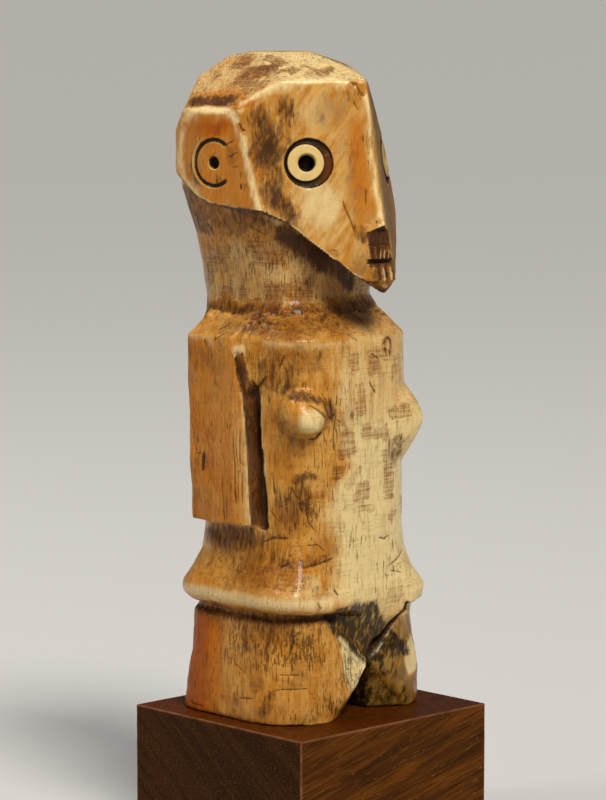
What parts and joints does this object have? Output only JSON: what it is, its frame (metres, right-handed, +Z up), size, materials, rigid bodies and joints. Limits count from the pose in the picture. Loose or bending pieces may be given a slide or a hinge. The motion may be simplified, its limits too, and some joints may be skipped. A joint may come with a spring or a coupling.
{
  "type": "standing figure",
  "caption": "Carved ivory standing figure with a wedge-shaped head, ring-and-dot eyes and slab arms, on a dark hardwood block.",
  "frame": {"origin": "middle of the wooden block's underside", "axes": "+Z up through the figure's crown, -Y is where the figure faces, +X is the figure's left side"},
  "size_m": [0.0552, 0.0516, 0.1703],
  "materials": {
    "ivory": "old ivory polished by handling: honey to amber, with dark residue in the hollows",
    "dark_hardwood": "dark brown hardwood, oiled, with fine grain and worn arrises"
  },
  "bodies": {
    "root": {"ivory_figure": "ivory", "wooden_base": "dark_hardwood"}
  },
  "joints": []
}
